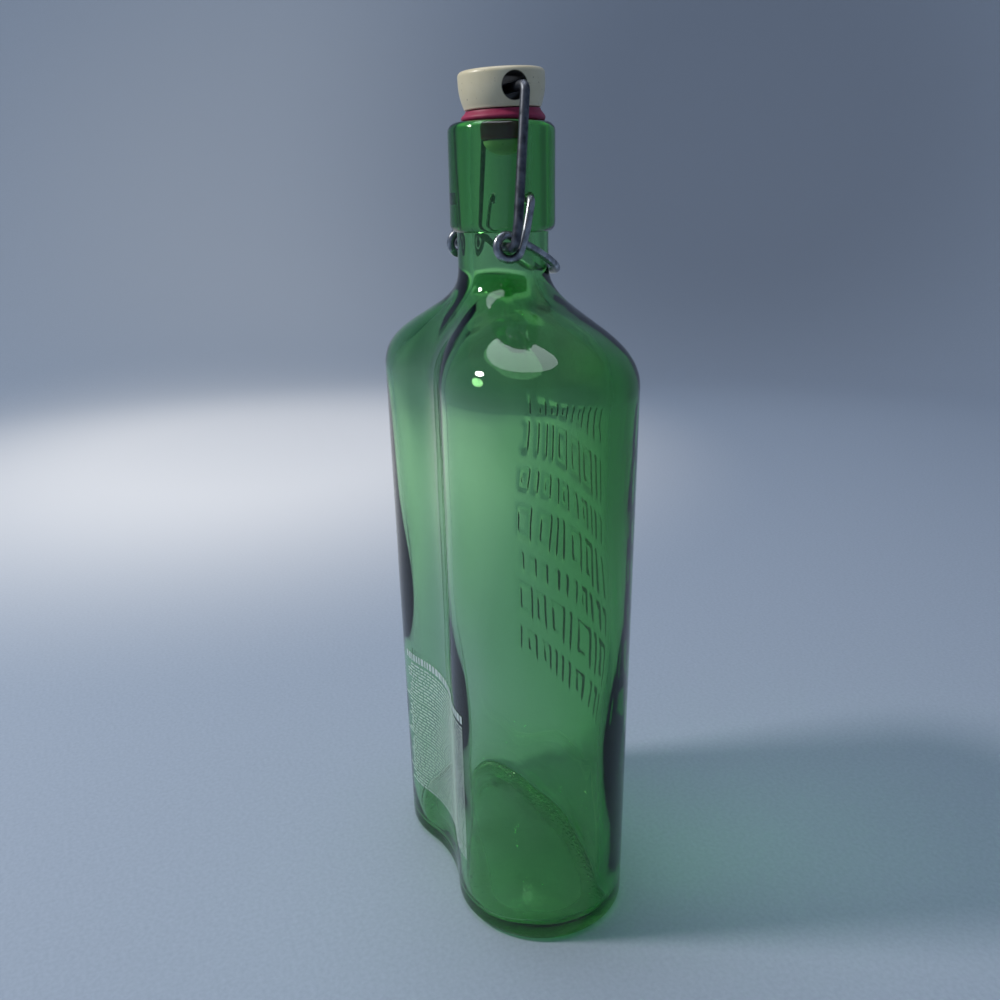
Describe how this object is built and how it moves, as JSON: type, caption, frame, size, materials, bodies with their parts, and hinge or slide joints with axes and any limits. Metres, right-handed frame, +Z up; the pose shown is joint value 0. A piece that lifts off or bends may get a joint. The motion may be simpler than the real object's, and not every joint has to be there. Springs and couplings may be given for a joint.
{
  "type": "swing-top glass bottle",
  "caption": "Green glass flask bottle with a curved kidney plan, square shoulders and a wire swing-top closure with a ceramic stopper.",
  "frame": {"origin": "on the standing plane, under the middle of the part's box", "axes": "+Z up, X along the wide side, bulging front towards -Y, hollow back towards +Y"},
  "size_m": [0.1068, 0.062, 0.2608],
  "materials": {
    "green_glass": "blown, polished",
    "label_film": "printed film, matt",
    "lever_wire": "galvanised wire, dull",
    "bail_wire": "galvanised wire, dull",
    "cream_glaze": "glazed, satin",
    "washer_rubber": "moulded rubber, satin"
  },
  "bodies": {
    "bottle": {"bottle": "green_glass", "back_label": "label_film"},
    "lever": {"locking_lever": "lever_wire"},
    "bail": {"stopper_bail": "bail_wire"},
    "stopper": {"stopper_head": "cream_glaze", "sealing_washer": "washer_rubber"}
  },
  "joints": [
    {"name": "lever_swing", "type": "hinge", "parent": "bottle", "child": "lever", "pos_m": [0, 0.00037, 0.2259], "axis": [-1, 0, 0], "range_deg": [0, 100], "deforming": ["sealing_washer"]},
    {"name": "bail_swing", "type": "hinge", "parent": "lever", "child": "bail", "pos_m": [0, 0.00807, 0.2129], "axis": [-1, 0, 0], "range_deg": [-70, 0]},
    {"name": "stopper_tilt", "type": "hinge", "parent": "bail", "child": "stopper", "pos_m": [0, 0.00167, 0.25492], "axis": [-1, 0, 0], "range_deg": [-31, 0]}
  ],
  "couplings": [
    {"joint": "bail_swing", "follows": "lever_swing", "ratio": -0.69},
    {"joint": "stopper_tilt", "follows": "lever_swing", "ratio": -0.31}
  ]
}
